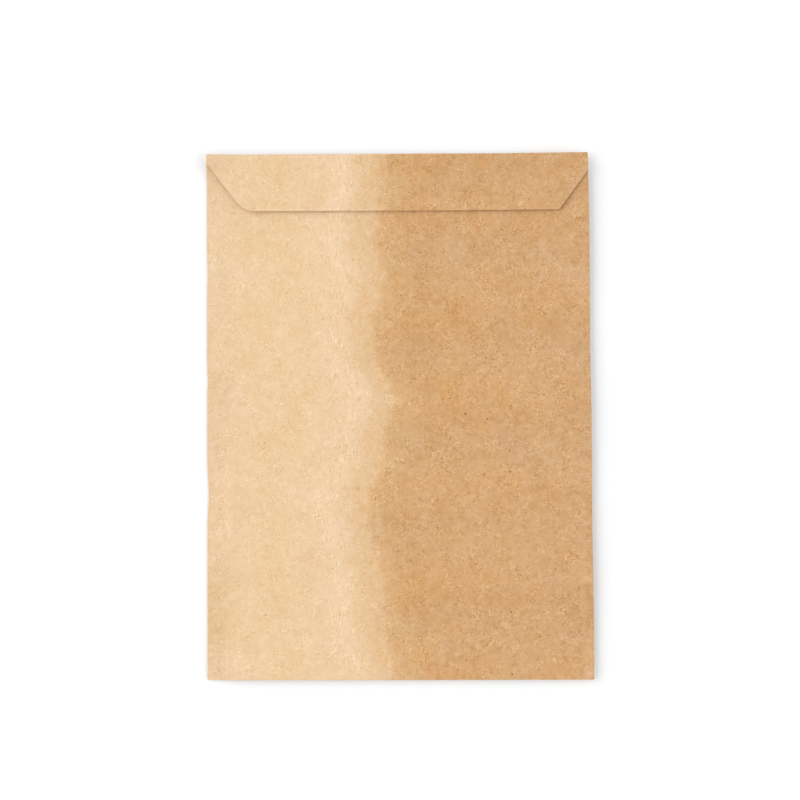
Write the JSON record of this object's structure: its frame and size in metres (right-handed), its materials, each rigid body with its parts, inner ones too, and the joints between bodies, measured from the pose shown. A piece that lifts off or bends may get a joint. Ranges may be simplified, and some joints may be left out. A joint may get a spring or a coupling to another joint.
{
  "type": "kraft paper bag",
  "caption": "Flat kraft paper bag with a pocket for sheets of paper, folded along its bottom and sides, lying with its flap folded over the front.",
  "frame": {"origin": "middle of the bag's outline, on the surface that it lies on, which is the underside of the two glued tabs on its back", "axes": "+X across the bag to the right as seen from the front, +Y up the bag from the bottom fold to the top fold, +Z out of its front"},
  "size_m": [0.24, 0.33, 0.0037],
  "materials": {
    "kraft_paper": "matte"
  },
  "bodies": {
    "root": {"paper_bag": "kraft_paper"}
  },
  "joints": []
}
